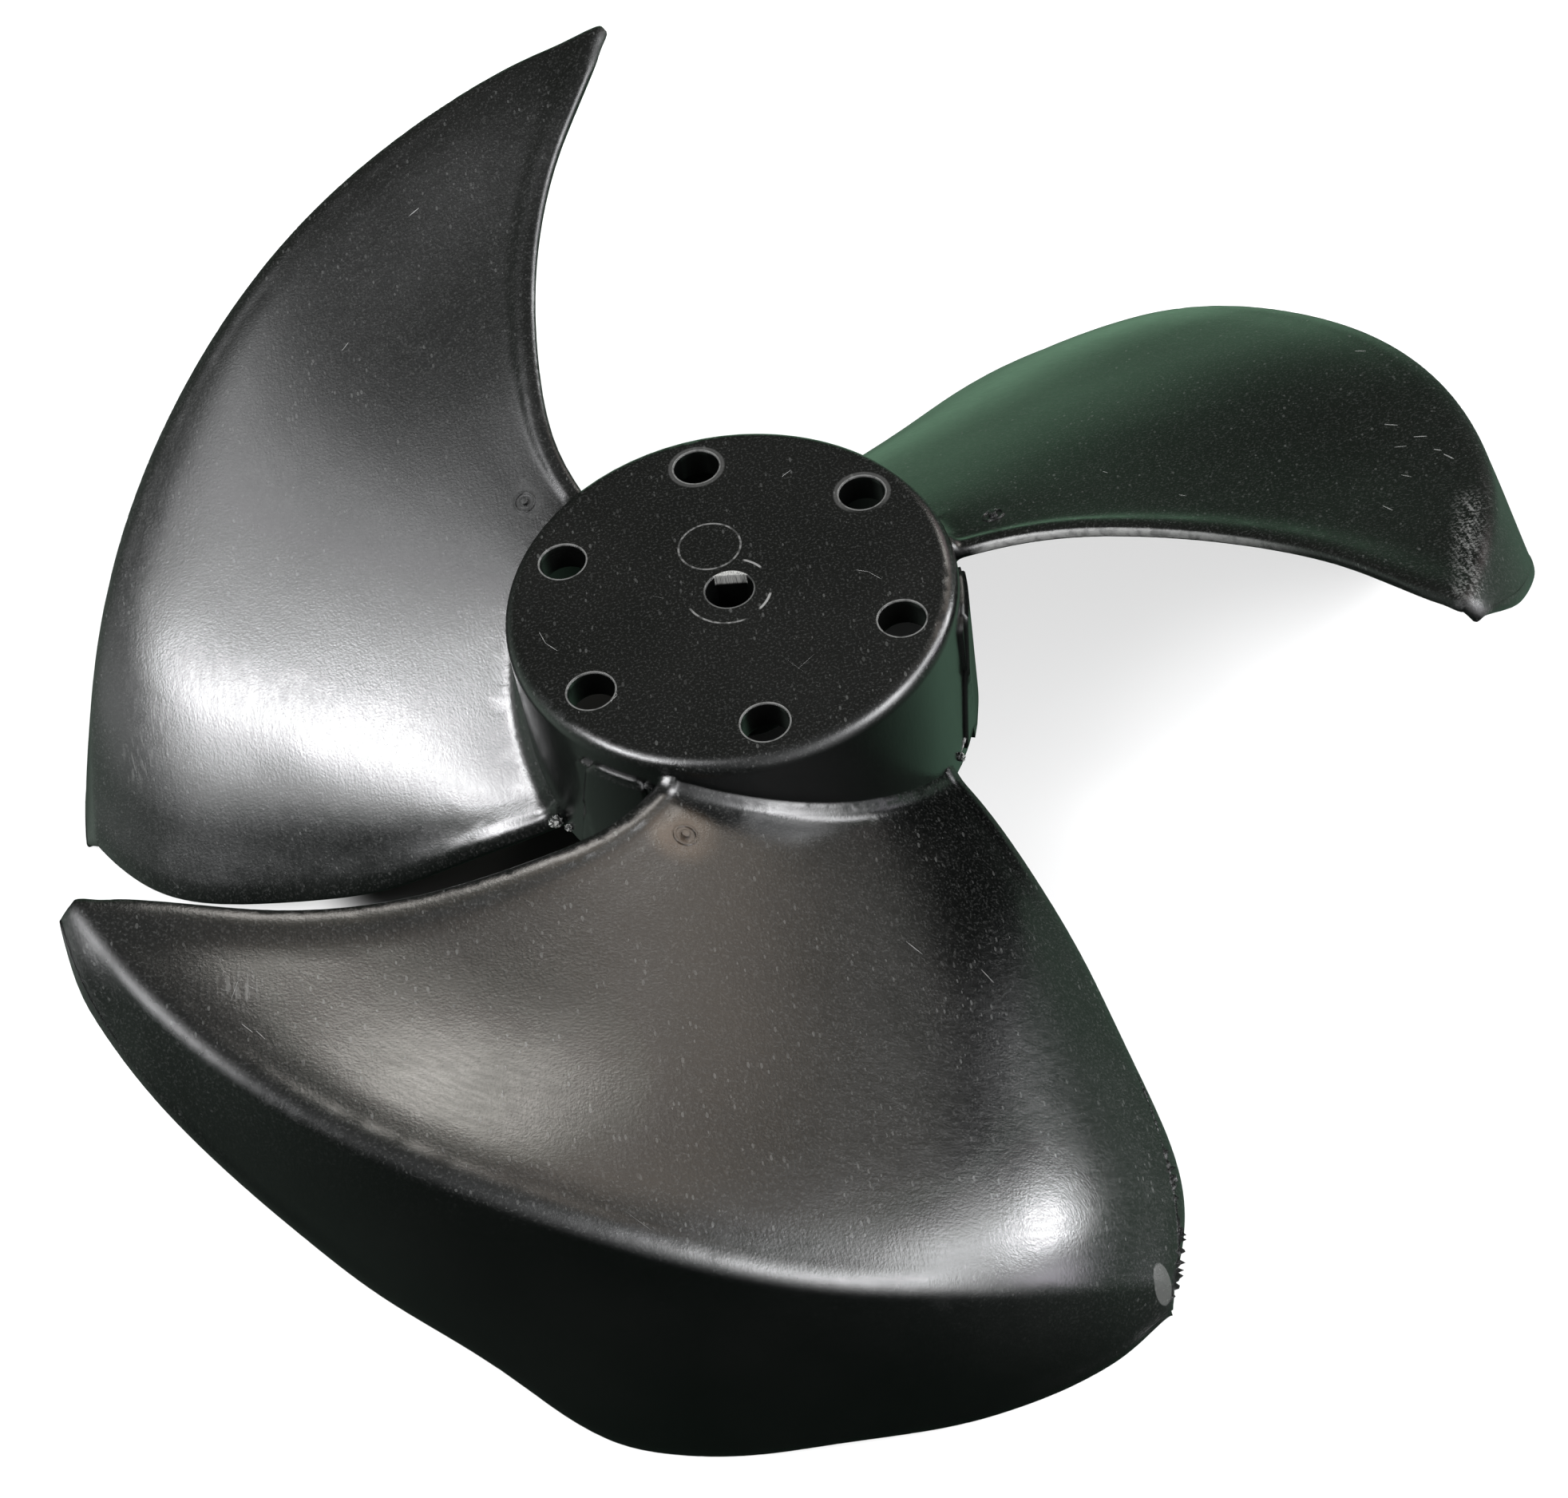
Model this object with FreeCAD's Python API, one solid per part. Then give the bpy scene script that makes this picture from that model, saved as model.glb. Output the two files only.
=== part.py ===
import FreeCAD, Part
import math
import os

V = FreeCAD.Vector

# ---------------------------------------------------------------------------
# Fan wheel for an evaporative cooler, moulded as one piece: a cup-shaped hub
# and three forward-swept blades whose outer rims are folded down into skirts.
# Millimetres. Origin: centre of the bore on the hub's top face. +Z points out
# of that face, along the axis of rotation. The wheel stands on its skirts.
# ---------------------------------------------------------------------------

# hub
HUB_R = 59.3            # outer radius at the top edge
HUB_R_LOW = 59.9        # outer radius at the bottom edge, from the draft
HUB_H = 52.0            # height of the cup
HUB_EDGE = 3.9          # rounding of the top edge
HUB_TOP = 4.0           # thickness of the top plate
HUB_WALL = 3.2          # thickness of the side wall
HUB_INNER_FILLET = 2.2
LIP_ROUND = 0.8         # rounding of the bottom edge

# bore and its boss
BORE_R = 6.35
BORE_FLAT = 5.0         # distance from the axis to the flat of the D
BORE_FLAT_DEG = 80.0    # direction in which the flat lies
BOSS_R = 13.5
BOSS_R_LOW = 12.6
BOSS_LEN = 44.0
RIB_T = 2.4
RIB_DEPTH = 14.0
RIB_COUNT = 6

# six holes in the top plate
HOLE_COUNT = 6
HOLE_PCD = 93.5
HOLE_R = 6.2
HOLE_PHASE_DEG = 93.1
HOLE_COLLAR_R = 8.6     # short collar round each hole, on the underside
HOLE_COLLAR_H = 4.5

# raised patches on the hub's side, one beside each blade's front root
PATCH_FROM_DEG = -140.4
PATCH_TO_DEG = -117.5
PATCH_TOP_Z = -9.3
PATCH_PROUD = 1.0
PATCH_CORNER = 2.4

# gate mark near each blade's front root
MARK_R = 74.2
MARK_DEG = -107.6
MARK_RING_R = 3.1
MARK_RING_H = 0.35
MARK_PIN_R = 1.15
MARK_PIN_H = 1.1

# blade
BLADES = 3
BLADE_STEP_DEG = 120.0
T_BLADE = 2.5           # thickness of the sheet
T_FRONT = 3.3           # thickness of the bead along the leading edge
T_REAR = 2.2            # thickness at the trailing edge
BEAD_REACH = 9.0        # how far behind the edge the bead fades out
BEND_R = 1.7            # bend radius at the middle of the sheet, rim to skirt
BEND_R_END = 1.0        # the same at the blade's tip and rear corner
BEND_FADE = 0.13        # share of the chord over which it grows
ROOT_FILLET = 4.2       # fillet between the blade's top and the hub
ROOT_FILLET_LOW = 2.6   # fillet under the blade
CAP_DIST = 41.5         # the blade's inner end is a plane this far from the axis

# leading edge: radius, angle, height of the centre of its rounding
LE_R = [59.3, 76.5, 99.4, 128.0, 156.7, 173.8, 186.4]
LE_A = [-114.81, -118.35, -125.08, -132.82, -140.68, -145.64, -148.26]
LE_Z = [-8.4, -3.8, 4.3, 14.6, 27.5, 36.0, 41.1]
# trailing edge
TE_R = [59.3, 83.0, 106.7, 130.5, 154.2, 174.9, 190.0]
TE_A = [-35.6, -43.7, -49.5, -54.7, -58.7, -62.9, -67.6]
TE_Z = [-49.3, -58.0, -68.8, -76.4, -81.4, -83.4, -81.6]
# root line on the hub: angle and height
RT_A = [-114.81, -106.0, -95.7, -85.0, -73.8, -61.0, -54.0, -45.0, -35.6]
RT_Z = [-8.4, -11.4, -15.7, -21.3, -27.7, -35.1, -39.3, -44.4, -49.3]
# outer crease, where the sheet turns down: angle, radius, height
CR_A = [-148.26, -138.93, -128.81, -117.15, -105.48, -93.81, -84.48, -76.7, -67.6]
CR_R = [186.4, 188.4, 189.3, 188.9, 189.0, 190.0, 189.9, 190.0, 190.0]
CR_Z = [41.1, 32.7, 23.1, 11.3, -4.5, -24.2, -40.9, -57.8, -81.6]
# lower edge of the skirt: angle, radius, height
LO_A = [-148.26, -146.8, -145.0, -142.0, -138.0, -135.7, -133.2, -130.2, -127.0, -123.7,
        -120.0, -116.3, -113.4, -111.2, -109.0, -105.0, -100.0, -93.0, -85.0,
        -79.5, -74.0, -68.6]
LO_R = [190.4, 193.4, 196.4, 199.4, 201.3, 201.9, 202.0, 201.9, 201.7, 201.7,
        201.7, 201.7, 201.7, 201.7, 201.7, 201.7, 201.7, 201.6, 201.8,
        201.7, 200.6, 196.6]
LO_Z = [39.3, 37.2, 33.6, 26.5, 17.4, 11.3, 3.6, -5.9, -16.6, -27.3,
        -36.8, -47.4, -60.2, -71.4, -79.2, -84.0, -84.4, -82.4, -84.8,
        -85.4, -85.2, -84.8]

# belly of the sheet between its four edges: rows across the chord, columns along the span
BELLY = [
    [0.53, 2.49, -0.25, 0.47, 1.53],
    [3.06, -0.07, -1.37, -0.15, 0.03],
    [1.97, -0.65, -0.96, 0.02, 0.16],
    [1.28, -0.38, -0.14, 0.07, 0.33],
]


def spline(xs, ys):
    """Natural cubic through the points, straight beyond them."""
    n = len(xs)
    h = [xs[i + 1] - xs[i] for i in range(n - 1)]
    a, b, c, d = [0.0] * n, [1.0] * n, [0.0] * n, [0.0] * n
    for i in range(1, n - 1):
        a[i] = h[i - 1]
        b[i] = 2 * (h[i - 1] + h[i])
        c[i] = h[i]
        d[i] = 6 * ((ys[i + 1] - ys[i]) / h[i] - (ys[i] - ys[i - 1]) / h[i - 1])
    for i in range(1, n):
        m = a[i] / b[i - 1]
        b[i] -= m * c[i - 1]
        d[i] -= m * d[i - 1]
    k = [0.0] * n
    k[-1] = d[-1] / b[-1]
    for i in range(n - 2, -1, -1):
        k[i] = (d[i] - c[i] * k[i + 1]) / b[i]

    def f(x):
        if x <= xs[0]:
            return ys[0] + ((ys[1] - ys[0]) / h[0] - h[0] * (2 * k[0] + k[1]) / 6) * (x - xs[0])
        if x >= xs[-1]:
            return ys[-1] + ((ys[-1] - ys[-2]) / h[-1] + h[-1] * (k[-2] + 2 * k[-1]) / 6) * (x - xs[-1])
        i = 0
        while x > xs[i + 1]:
            i += 1
        p = (xs[i + 1] - x) / h[i]
        q = 1 - p
        return p * ys[i] + q * ys[i + 1] + ((p ** 3 - p) * k[i] + (q ** 3 - q) * k[i + 1]) * h[i] * h[i] / 6

    return f


le_a, le_z = spline(LE_R, LE_A), spline(LE_R, LE_Z)
te_a, te_z = spline(TE_R, TE_A), spline(TE_R, TE_Z)
rt_z = spline(RT_A, RT_Z)
cr_r, cr_z = spline(CR_A, CR_R), spline(CR_A, CR_Z)
lo_r, lo_z = spline(LO_A, LO_R), spline(LO_A, LO_Z)


def cyl(r, deg, z):
    t = math.radians(deg)
    return V(r * math.cos(t), r * math.sin(t), z)


def hub_r(z):
    return HUB_R + (HUB_R_LOW - HUB_R) * min(max(-z / HUB_H, 0.0), 1.0)


def legendre(t):
    x = 2 * t - 1
    return [1.0, x, 0.5 * (3 * x * x - 1), 0.5 * (5 * x ** 3 - 3 * x), (35 * x ** 4 - 30 * x * x + 3) / 8.0]


def belly(u, w):
    """Height added to the sheet; nothing on its edges."""
    lu, lw = legendre(u), legendre(min(w, 1.0))
    s = sum(BELLY[i][j] * lu[i] * lw[j] for i in range(len(BELLY)) for j in range(len(BELLY[0])))
    return 16 * u * (1 - u) * max(0.0, w * (1 - w)) * s


def main_rta(u, w):
    """Middle of the sheet between hub (w=0) and crease (w=1), front (u=0) to rear (u=1)."""
    r0f, r0r = hub_r(LE_Z[0]), hub_r(TE_Z[0])
    rf = r0f + w * (LE_R[-1] - r0f)
    rr = r0r + w * (TE_R[-1] - r0r)
    a_root = RT_A[0] + u * (RT_A[-1] - RT_A[0])
    a_cr = CR_A[0] + u * (CR_A[-1] - CR_A[0])
    ang = (1 - u) * le_a(rf) + u * te_a(rr)
    zr = rt_z(a_root)
    rad = (1 - u) * rf + u * rr
    rad += (1 - w) * (hub_r(zr) - ((1 - u) * r0f + u * r0r))
    rad += w * (cr_r(a_cr) - ((1 - u) * CR_R[0] + u * CR_R[-1]))
    z = (1 - u) * le_z(rf) + u * te_z(rr)
    z += (1 - w) * (zr - ((1 - u) * RT_Z[0] + u * RT_Z[-1]))
    z += w * (cr_z(a_cr) - ((1 - u) * CR_Z[0] + u * CR_Z[-1]))
    z += belly(u, w)
    return rad, ang, z


def crease_pt(u):
    a = CR_A[0] + u * (CR_A[-1] - CR_A[0])
    return cyl(cr_r(a), a, cr_z(a))


def bend_r(u):
    """Bend radius along the rim, small at both ends."""
    x = min(1.0, min(u, 1.0 - u) / BEND_FADE)
    return BEND_R_END + (BEND_R - BEND_R_END) * x * x * (3 - 2 * x)


def lower_pt(u):
    a = LO_A[0] + u * (LO_A[-1] - LO_A[0])
    return cyl(lo_r(a), a, lo_z(a))


def unit(v):
    return v * (1.0 / v.Length)


# stations across the chord, from front to rear
NU = 27
US = [i / (NU - 1.0) for i in range(NU)]
# stations along the span: the stretch inside the hub, then out to the crease
WS_D = [0.3, 0.9, 1.7, 2.7, 4.0, 6.0, 9.0, 14.0, 21.0, 30.0, 41.0, 53.0, 65.0,
        77.0, 89.0, 100.0, 110.0, 118.0, 123.0, 126.5]
SPAN = 130.0
BEND_N = 5
SKIRT_N = 9
NOSE = (30.0, 60.0, 90.0)


def blade_grid():
    """Middle surface: rows across the chord, columns along the span."""
    cols = []
    lips = []
    for u in US:
        pts = []
        # end plane, inside the hub
        p0 = cyl(*main_rta(u, 0.0))
        p1 = cyl(*main_rta(u, 0.01))
        tang = unit(p0 - p1)
        mid = math.radians(0.5 * (RT_A[0] + RT_A[-1]))
        dvec = V(math.cos(mid), math.sin(mid), 0)
        s = (CAP_DIST - p0.dot(dvec)) / tang.dot(dvec)
        pts.append(p0 + tang * s)
        pts.append(p0 + tang * (s * 0.5))
        pts.append(p0 + tang * min(1.2, s * 0.3))
        for d in WS_D:
            pts.append(cyl(*main_rta(u, d / SPAN)))
        # bend
        c = crease_pt(u)
        du = 0.004
        ua, ub = max(0.0, u - du), min(1.0, u + du)
        tau = unit(crease_pt(ub) - crease_pt(ua))
        span_dir = unit(cyl(*main_rta(u, 1.0)) - cyl(*main_rta(u, 0.97)))
        n1 = unit(span_dir.cross(tau))
        if n1.z < 0:
            n1 = n1 * -1
        low = lower_pt(u)
        skirt_dir = low - c
        n2 = unit(skirt_dir.cross(tau))
        if n2.dot(V(c.x, c.y, 0)) < 0:
            n2 = n2 * -1
        ang = math.acos(max(-1.0, min(1.0, n1.dot(n2))))
        br = bend_r(u)
        shift = n1 * br
        # carry the sheet's last stretch up to the bend's start
        base = len(pts)
        for k in range(3, base):
            w = WS_D[k - 3] / SPAN
            f = max(0.0, (w - 0.6) / 0.4)
            pts[k] = pts[k] + shift * (f * f * (3 - 2 * f))
        for k in range(BEND_N):
            q = k / (BEND_N - 1.0)
            if ang > 1e-6:
                nn = n1 * (math.sin((1 - q) * ang) / math.sin(ang)) + n2 * (math.sin(q * ang) / math.sin(ang))
            else:
                nn = n1
            pts.append(c + nn * br)
        # skirt
        start = c + n2 * br
        # the skirt's outer face and its rounded lip pass through the lower curve
        lip = 0.5 * T_BLADE * min(1.0, max(0.35, skirt_dir.Length / 12.0))
        end = low - n2 * (0.5 * T_BLADE * min(1.0, skirt_dir.Length / 12.0)) - unit(skirt_dir) * lip
        run = (end - start).Length
        beta = max(0.0, min(1.0, (run - 5.0) / 40.0))
        for k in range(1, SKIRT_N + 1):
            x = k / float(SKIRT_N)
            y = x ** 1.7
            s = (1 - beta) * x + beta * (0.25 * x + 0.75 * y)
            bulge = 0.03 * run * 4 * s * (1 - s)
            pts.append(start + (end - start) * s + n2 * bulge)
        cols.append(pts)
        lips.append(lip)
    return cols, lips


def deriv(a, b, c):
    """Direction at b from its neighbours, for uneven steps."""
    h0, h1 = (b - a).Length, (c - b).Length
    return ((c - b) * (h0 / h1) + (b - a) * (h1 / h0)) * (1.0 / (h0 + h1))


def directions(grid):
    nu, nv = len(grid), len(grid[0])
    du = [[None] * nv for _ in range(nu)]
    dv = [[None] * nv for _ in range(nu)]
    for i in range(nu):
        for j in range(nv):
            if 0 < i < nu - 1:
                du[i][j] = unit(deriv(grid[i - 1][j], grid[i][j], grid[i + 1][j]))
            elif i == 0:
                a, b, c = grid[0][j], grid[1][j], grid[2][j]
                du[i][j] = unit((b - a) * 2 - deriv(a, b, c) * (b - a).Length)
            else:
                a, b, c = grid[-3][j], grid[-2][j], grid[-1][j]
                du[i][j] = unit((c - b) * 2 - deriv(a, b, c) * (c - b).Length)
            if 0 < j < nv - 1:
                dv[i][j] = unit(deriv(grid[i][j - 1], grid[i][j], grid[i][j + 1]))
            elif j == 0:
                dv[i][j] = unit(grid[i][1] - grid[i][0])
            else:
                a, b, c = grid[i][-3], grid[i][-2], grid[i][-1]
                dv[i][j] = unit((c - b) * 2 - deriv(a, b, c) * (c - b).Length)
    return du, dv


def rise(d, r):
    """Height of a fillet of radius r at distance d from the wall."""
    if d >= r:
        return 0.0
    d = max(d, 0.12 * r)
    return r - math.sqrt(max(0.0, r * r - (r - d) ** 2))


def blade_faces():
    grid, lips = blade_grid()
    du, dv = directions(grid)
    nu, nv = len(grid), len(grid[0])
    mid = math.radians(0.5 * (RT_A[0] + RT_A[-1]))
    dvec = V(math.cos(mid), math.sin(mid), 0)
    half = 0.5
    # distance of each row from the front edge and the rear edge, for the thickness
    rows_i = [("F", 2), ("F", 1), ("F", 0)] + [("M", i) for i in range(nu)] + [("R", 0), ("R", 1), ("R", 2)]
    cols_j = [("M", j) for j in range(nv)] + [("L", 0), ("L", 1), ("L", 2)]
    top, low = [], []
    for (ki, i) in rows_i:
        tr, lr = [], []
        gi = i if ki == "M" else (0 if ki == "F" else nu - 1)
        for (kj, j) in cols_j:
            gj = j if kj == "M" else nv - 1
            p = grid[gi][gj]
            n = unit(dv[gi][gj].cross(du[gi][gj]))
            if gj < nv - SKIRT_N - BEND_N and n.z < 0:
                n = n * -1
            if gj >= nv - SKIRT_N - BEND_N:
                ref = unit(dv[gi][nv - SKIRT_N - BEND_N - 1].cross(du[gi][nv - SKIRT_N - BEND_N - 1]))
                sgn = 1.0 if ref.z > 0 else -1.0
                n = unit(dv[gi][gj].cross(du[gi][gj])) * sgn
            # thickness
            df = (grid[gi][gj] - grid[0][gj]).Length
            dr = (grid[gi][gj] - grid[-1][gj]).Length
            t = T_BLADE + (T_FRONT - T_BLADE) * math.exp(-(df / BEAD_REACH) ** 2) \
                + (T_REAR - T_BLADE) * math.exp(-(dr / BEAD_REACH) ** 2)
            h = half * t
            q = V(p.x, p.y, p.z)
            fu = fv = 1.0
            if ki != "M":
                phi = math.radians(NOSE[i])
                tv = dv[gi][gj]
                e = n.cross(tv)
                e = unit(e)
                inward = du[gi][gj] if ki == "F" else du[gi][gj] * -1
                if e.dot(inward) > 0:
                    e = e * -1
                x = min(1.0, max(0.0, (gj - (nv - SKIRT_N - BEND_N - 2)) / 6.0))
                flat = 1.0 - 0.55 * x
                q = q + e * (h * flat * math.sin(phi))
                fu = math.cos(phi)
            if kj != "M":
                phi = math.radians(NOSE[j])
                e = unit(n.cross(du[gi][gj]))
                if e.dot(dv[gi][gj]) < 0:
                    e = e * -1
                q = q + e * (min(h, lips[gi]) * math.sin(phi))
                fv = math.cos(phi)
            if fu < 1e-9:
                fu = 0.0
            if fv < 1e-9:
                fv = 0.0
            # root fillets
            up = dn = 0.0
            if 2 < gj < 12:
                d = math.hypot(p.x, p.y) - hub_r(p.z)
                up, dn = rise(d, ROOT_FILLET), rise(d, ROOT_FILLET_LOW)
            elif gj <= 2:
                up, dn = rise(0.0, ROOT_FILLET) + 0.6, rise(0.0, ROOT_FILLET_LOW) + 0.4
            k = fu * fv
            a = q + n * (h * k) + V(0, 0, up * k)
            b = q - n * (h * k) - V(0, 0, dn * k)
            if gj == 0:
                tv = dv[gi][0]
                a = a + tv * ((CAP_DIST - a.dot(dvec)) / tv.dot(dvec))
                b = b + tv * ((CAP_DIST - b.dot(dvec)) / tv.dot(dvec))
            tr.append(a)
            lr.append(b)
        top.append(tr)
        low.append(lr)
    return top, low


def params(grids):
    """Average chord-length parameters for rows and columns, shared by all grids."""
    nu, nv = len(grids[0]), len(grids[0][0])
    pu, pv = [0.0], [0.0]
    for i in range(1, nu):
        s = 0.0
        for g in grids:
            for j in range(nv):
                s += (g[i][j] - g[i - 1][j]).Length
        pu.append(pu[-1] + s / (nv * len(grids)))
    for j in range(1, nv):
        s = 0.0
        for g in grids:
            for i in range(nu):
                s += (g[i][j] - g[i][j - 1]).Length
        pv.append(pv[-1] + s / (nu * len(grids)))
    return pu, pv


def surface(grid, pu, pv):
    """Cubic surface through every grid point; equal parameters give equal shared edges."""
    nu, nv = len(grid), len(grid[0])
    half = []
    for j in range(nv):
        c = Part.BSplineCurve()
        c.interpolate(Points=[grid[i][j] for i in range(nu)], Parameters=pu)
        half.append(c.getPoles())
        ku, mu = c.getKnots(), c.getMultiplicities()
    npole = len(half[0])
    poles = []
    for i in range(npole):
        c = Part.BSplineCurve()
        c.interpolate(Points=[half[j][i] for j in range(nv)], Parameters=pv)
        poles.append(c.getPoles())
        kv, mv = c.getKnots(), c.getMultiplicities()
    s = Part.BSplineSurface()
    s.buildFromPolesMultsKnots(poles, mu, mv, ku, kv, False, False, 3, 3)
    return s


def blade_solid():
    top, low = blade_faces()
    pu, pv = params([top, low])
    st, sl = surface(top, pu, pv), surface(low, pu, pv)
    ft, fl = st.toShape(), sl.toShape()
    mid = math.radians(0.5 * (RT_A[0] + RT_A[-1]))
    dvec = V(math.cos(mid), math.sin(mid), 0)

    def end_edge(face):
        best = None
        for e in face.Edges:
            m = sum(abs(e.valueAt(e.FirstParameter + (e.LastParameter - e.FirstParameter) * q).dot(dvec) - CAP_DIST)
                    for q in (0.2, 0.5, 0.8))
            if best is None or m < best[0]:
                best = (m, e)
        return best[1]

    cap = Part.Face(Part.Wire([end_edge(ft), end_edge(fl)]))
    shell = Part.makeShell([ft, fl, cap])
    shell.sewShape()
    solid = Part.Solid(shell)
    solid.fix(1e-4, 1e-4, 1e-2)
    if solid.Volume < 0:
        solid.reverse()
    return solid


def revolve_profile(pts, start_deg=0.0, deg=360.0):
    wire = Part.makePolygon([V(r, 0, z) for r, z in pts] + [V(pts[0][0], 0, pts[0][1])])
    face = Part.Face(wire)
    face.rotate(V(0, 0, 0), V(0, 0, 1), start_deg)
    return face.revolve(V(0, 0, 0), V(0, 0, 1), deg)


def hub_outer():
    """Outside of the cup, with its rounded top edge and its draft."""
    k = HUB_EDGE
    slope = (HUB_R_LOW - HUB_R) / HUB_H
    r1 = HUB_R + slope * k
    c = V(HUB_R - k, 0, -k)
    m = V(HUB_R - k + k * math.sin(math.radians(45)), 0, -k + k * math.cos(math.radians(45)))
    e = []
    e.append(Part.LineSegment(V(0, 0, 0), V(HUB_R - k, 0, 0)).toShape())
    e.append(Part.Arc(V(HUB_R - k, 0, 0), m, V(HUB_R, 0, -k)).toShape())
    e.append(Part.LineSegment(V(HUB_R, 0, -k), V(HUB_R_LOW, 0, -HUB_H + LIP_ROUND)).toShape())
    e.append(Part.Arc(V(HUB_R_LOW, 0, -HUB_H + LIP_ROUND),
                      V(HUB_R_LOW - LIP_ROUND * (1 - math.cos(math.radians(45))), 0,
                        -HUB_H + LIP_ROUND * (1 - math.sin(math.radians(45)))),
                      V(HUB_R_LOW - LIP_ROUND, 0, -HUB_H)).toShape())
    e.append(Part.LineSegment(V(HUB_R_LOW - LIP_ROUND, 0, -HUB_H), V(0, 0, -HUB_H)).toShape())
    e.append(Part.LineSegment(V(0, 0, -HUB_H), V(0, 0, 0)).toShape())
    return Part.Face(Part.Wire(e)).revolve(V(0, 0, 0), V(0, 0, 1), 360)


def hub_cavity():
    """Space under the top plate, round the boss, the ribs and the hole collars."""
    over = 6.0
    f = HUB_INNER_FILLET
    ri_top, ri_low = HUB_R - HUB_WALL, HUB_R_LOW - HUB_WALL
    zt, zb = -HUB_TOP, -HUB_H - over
    rl = ri_low + (HUB_R_LOW - HUB_R) / HUB_H * over
    e = []
    pts = [V(BOSS_R, 0, zt), V(ri_top - f, 0, zt)]
    e.append(Part.LineSegment(pts[0], pts[1]).toShape())
    e.append(Part.Arc(pts[1], V(ri_top - f + f * math.sin(math.radians(45)), 0, zt - f + f * math.cos(math.radians(45))),
                      V(ri_top, 0, zt - f)).toShape())
    e.append(Part.LineSegment(V(ri_top, 0, zt - f), V(rl, 0, zb)).toShape())
    e.append(Part.LineSegment(V(rl, 0, zb), V(0, 0, zb)).toShape())
    e.append(Part.LineSegment(V(0, 0, zb), V(0, 0, -BOSS_LEN)).toShape())
    e.append(Part.LineSegment(V(0, 0, -BOSS_LEN), V(BOSS_R_LOW, 0, -BOSS_LEN)).toShape())
    e.append(Part.LineSegment(V(BOSS_R_LOW, 0, -BOSS_LEN), pts[0]).toShape())
    cavity = Part.Face(Part.Wire(e)).revolve(V(0, 0, 0), V(0, 0, 1), 360)
    keep = []
    for k in range(RIB_COUNT):
        a = HOLE_PHASE_DEG + 30.0 + k * 360.0 / RIB_COUNT
        prof = Part.makePolygon([V(BOSS_R_LOW - 3, -RIB_T / 2, -HUB_TOP + 1), V(BOSS_R_LOW - 3, -RIB_T / 2, -BOSS_LEN + 6),
                                 V(HUB_R - HUB_WALL - 12, -RIB_T / 2, -RIB_DEPTH), V(HUB_R, -RIB_T / 2, -RIB_DEPTH),
                                 V(HUB_R, -RIB_T / 2, -HUB_TOP + 1), V(BOSS_R_LOW - 3, -RIB_T / 2, -HUB_TOP + 1)])
        rib = Part.Face(prof).extrude(V(0, RIB_T, 0))
        rib.rotate(V(0, 0, 0), V(0, 0, 1), a)
        keep.append(rib)
    for k in range(HOLE_COUNT):
        a = math.radians(HOLE_PHASE_DEG + k * 360.0 / HOLE_COUNT)
        keep.append(Part.makeCylinder(HOLE_COLLAR_R, HUB_TOP + HOLE_COLLAR_H - 1,
                                      V(HOLE_PCD / 2 * math.cos(a), HOLE_PCD / 2 * math.sin(a), -HUB_TOP - HOLE_COLLAR_H)))
    return cavity.cut(keep)


def bore_tool():
    depth = BOSS_LEN + 12
    c = Part.makeCylinder(BORE_R, depth + 2, V(0, 0, -depth))
    block = Part.makeBox(4 * BORE_R, 4 * BORE_R, depth + 4, V(BORE_FLAT, -2 * BORE_R, -depth - 1))
    block.rotate(V(0, 0, 0), V(0, 0, 1), BORE_FLAT_DEG)
    return c.cut(block)


def side_patch(k):
    """Low raised patch on the hub's side, rounded at its upper corners."""
    slope = (HUB_R_LOW - HUB_R) / HUB_H
    zt, zb = PATCH_TOP_Z, -HUB_H
    pts = [(hub_r(zt) - 1.6, zt), (HUB_R - slope * zt + PATCH_PROUD, zt),
           (HUB_R - slope * zb + PATCH_PROUD, zb), (HUB_R - slope * zb - 1.6, zb)]
    s = revolve_profile(pts, PATCH_FROM_DEG, PATCH_TO_DEG - PATCH_FROM_DEG)
    corner = []
    for e in s.Edges:
        a, b = e.Vertexes[0].Point, e.Vertexes[-1].Point
        if abs(a.z - zt) < 1e-6 and abs(b.z - zt) < 1e-6 and abs(math.hypot(a.x, a.y) - math.hypot(b.x, b.y)) > 1:
            corner.append(e)
    s = s.makeFillet(PATCH_CORNER, corner)
    s.rotate(V(0, 0, 0), V(0, 0, 1), k * BLADE_STEP_DEG)
    return s


def gate_mark(k):
    """Small raised ring with a pin in its middle, on the blade's top."""
    a = MARK_DEG
    best = None
    for iu in range(0, 101):
        u = 0.2 * iu / 100.0
        for iw in range(0, 41):
            w = 0.05 + 0.12 * iw / 40.0
            r, ang, z = main_rta(u, w)
            e = abs(r - MARK_R) + abs(ang - a) * 1.2
            if best is None or e < best[0]:
                best = (e, u, w)
    _, u, w = best
    p = cyl(*main_rta(u, w))
    pu = cyl(*main_rta(u + 0.02, w)) - p
    pw = cyl(*main_rta(u, w + 0.01)) - p
    n = unit(pw.cross(pu))
    if n.z < 0:
        n = n * -1
    base = p + n * (0.5 * T_BLADE - 1.0)
    ring = Part.makeCylinder(MARK_RING_R, 1.0 + MARK_RING_H, base, n)
    dish = Part.makeCylinder(MARK_RING_R - 0.5, 2.0, p + n * (0.5 * T_BLADE - 0.1), n)
    ring = ring.cut(dish)
    pin = Part.makeCylinder(MARK_PIN_R, 1.0 + MARK_PIN_H, base, n)
    m = ring.fuse(pin)
    m.rotate(V(0, 0, 0), V(0, 0, 1), k * BLADE_STEP_DEG)
    return m


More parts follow.
